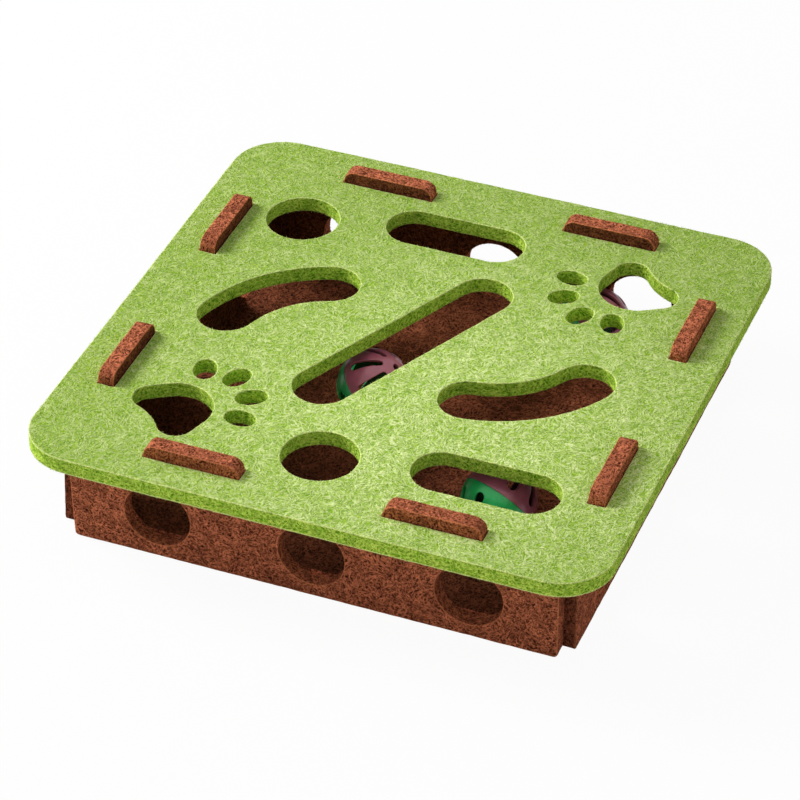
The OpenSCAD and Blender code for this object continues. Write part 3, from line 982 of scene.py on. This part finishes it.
class MazeBellBalls(bpy.types.Operator):
    """Makes the moulded halves of the bell balls with rounded window edges"""

    bl_idname = "maze.bell_balls"
    bl_label = "Bell balls"

    def execute(self, context):
        balls = context.scene.maze_balls
        materials = {half: plastic_material(half + "_plastic", getattr(balls, half)) for half in HALVES}
        for ball in BALLS:
            nodes = {half: f"{ball}_ball_{half}_half" for half in HALVES}
            ends = [corner for node in nodes.values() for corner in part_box(node)]
            middle = Vector([(min(e[i] for e in ends) + max(e[i] for e in ends)) / 2 for i in range(3)])
            for half, node in nodes.items():
                bm = merged_copy(node, BALL_WELD)
                paired = [e for e in bm.edges if len(e.link_faces) == 2]
                sharp = [e for e in paired if e.calc_face_angle(0) > SHARP_ANGLE]
                round_edges(bm, sharp, balls.edge_round, BALL_SEGMENTS)
                split_wide_faces(bm)
                bm.normal_update()
                # Painted shade: the points that face into the ball are marked to be darkened
                layer = bm.verts.layers.float.new("inside")
                for v in bm.verts:
                    v[layer] = unit(HOLLOW_START - v.normal.dot((v.co - middle).normalized()))
                piece = add_object(node + "_moulded", bm, materials[half])
                weigh_normals(piece)
                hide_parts(node)
                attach(piece, ball + "_ball")
        return {"FINISHED"}


class MazeBells(bpy.types.Operator):
    """Gives the bells and their pellets a metal finish"""

    bl_idname = "maze.bells"
    bl_label = "Bells"

    def execute(self, context):
        balls = context.scene.maze_balls
        brass = metal_material("bell_brass", balls.brass, BRASS_ROUGHNESS)
        steel = metal_material("pellet_steel", balls.steel, STEEL_ROUGHNESS)
        for ball in BALLS:
            for node, material in ((ball + "_bell", brass), (ball + "_pellet", steel)):
                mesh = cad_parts[node].data
                mesh.materials.clear()
                mesh.materials.append(material)
        return {"FINISHED"}


def add_lamp(name, box, power):
    """Adds a square soft box that points at the maze box."""
    place, side = box
    lamp = bpy.data.lights.new(name, "AREA")
    lamp.shape = "SQUARE"
    lamp.size = side
    lamp.energy = power
    made = bpy.data.objects.new(name, lamp)
    made.location = place
    made.rotation_euler = (LAMP_AIM - Vector(place)).to_track_quat("-Z", "Y").to_euler()
    bpy.context.scene.collection.objects.link(made)


def show_white(tree, lit, white, share, output):
    """Mixes a white shader into a lit one for the camera and for what gloss and glass send on."""
    path = tree.nodes.new("ShaderNodeLightPath").outputs
    seen = larger(tree, path["Is Camera Ray"], path["Is Glossy Ray"])
    seen = larger(tree, seen, path["Is Transmission Ray"])
    joined = tree.nodes.new("ShaderNodeMixShader")
    tree.links.new(times(tree, seen, share), joined.inputs[0])
    tree.links.new(lit.outputs[0], joined.inputs[1])
    tree.links.new(white.outputs[0], joined.inputs[2])
    tree.links.new(joined.outputs[0], tree.nodes[output].inputs["Surface"])


def add_floor(colour):
    """A wide pale floor that shows the box's shadow on near white."""
    bm = bmesh.new()
    bmesh.ops.create_circle(bm, cap_ends=True, segments=FLOOR_SIDES, radius=FLOOR_RADIUS)
    bmesh.ops.translate(bm, verts=bm.verts, vec=(0, 0, -FLOOR_DROP))
    material, tree, shader = new_material("pale_floor")
    shader.inputs["Base Color"].default_value = (*colour, 1)
    shader.inputs["Roughness"].default_value = 0.9
    white = add_node(tree, "ShaderNodeEmission", Color=WHITE, Strength=1.0)
    show_white(tree, shader, white, FLOOR_WHITE, "Material Output")
    return add_object("studio_floor", bm, material)


def add_surroundings(scene, strength):
    """Even light from all round, which the camera sees as plain white."""
    world = bpy.data.worlds.new("studio")
    scene.world = world
    world.use_nodes = True
    tree = world.node_tree
    even = tree.nodes["Background"]
    even.inputs["Color"].default_value = WHITE
    even.inputs["Strength"].default_value = strength
    white = add_node(tree, "ShaderNodeBackground", Color=WHITE, Strength=1.0)
    show_white(tree, even, white, 1.0, "World Output")


def add_camera(scene, place, turns, lens):
    """The camera of the scene, turned by its elevation, azimuth and roll."""
    data = bpy.data.cameras.new("camera")
    data.lens = lens
    data.sensor_width = SENSOR_WIDTH
    data.clip_start = NEAR_CLIP
    data.clip_end = FAR_CLIP
    camera = bpy.data.objects.new("camera", data)
    elevation, azimuth, roll = turns
    turn = Euler((math.pi / 2 - elevation, 0, azimuth)).to_matrix().to_4x4()
    camera.matrix_world = Matrix.Translation(place) @ turn @ Matrix.Rotation(roll, 4, "Z")
    scene.collection.objects.link(camera)
    scene.camera = camera


class MazeStage(bpy.types.Operator):
    """Makes the pale floor, the white surroundings, the soft boxes and the camera"""

    bl_idname = "maze.stage"
    bl_label = "Stage"

    def execute(self, context):
        stage = context.scene.maze_stage
        add_floor(stage.floor)
        add_surroundings(context.scene, stage.sky)
        add_lamp("side_soft_box", SIDE_BOX, stage.side_power)
        add_lamp("front_soft_box", FRONT_BOX, stage.front_power)
        add_lamp("overhead_soft_box", OVERHEAD_BOX, stage.overhead_power)
        add_camera(context.scene, stage.camera_place, stage.camera_turn, stage.lens)
        context.scene.view_settings.view_transform = "Standard"
        return {"FINISHED"}


class MazePanel(bpy.types.Panel):
    """Lists the steps that dress the maze box"""

    bl_idname = "MAZE_PT_dress"
    bl_label = "Maze box"
    bl_space_type = "VIEW_3D"
    bl_region_type = "UI"
    bl_category = "Maze box"

    def draw(self, context):
        for step in STEPS:
            self.layout.operator(step.bl_idname)
        for group in GROUPS:
            settings = getattr(context.scene, group)
            for name in settings.__annotations__:
                self.layout.prop(settings, name)


STEPS = (MazeTopBoard, MazeWalls, MazeBellBalls, MazeBells, MazeStage)
GROUPS = {"maze_felt": MazeFeltSettings, "maze_balls": MazeBallSettings, "maze_stage": MazeStageSettings}
CLASSES = (*GROUPS.values(), *STEPS, MazePanel)


def register():
    """Registers the settings, the steps and the panel."""
    for made in CLASSES:
        bpy.utils.register_class(made)
    for name, group in GROUPS.items():
        setattr(bpy.types.Scene, name, bpy.props.PointerProperty(type=group))


def unregister():
    """Takes away what register added."""
    for name in GROUPS:
        delattr(bpy.types.Scene, name)
    for made in reversed(CLASSES):
        bpy.utils.unregister_class(made)


def main():
    """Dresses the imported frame."""
    register()
    bpy.ops.maze.top_board()
    bpy.ops.maze.walls()
    bpy.ops.maze.bell_balls()
    bpy.ops.maze.bells()
    bpy.ops.maze.stage()


if __name__ == "__main__":
    main()
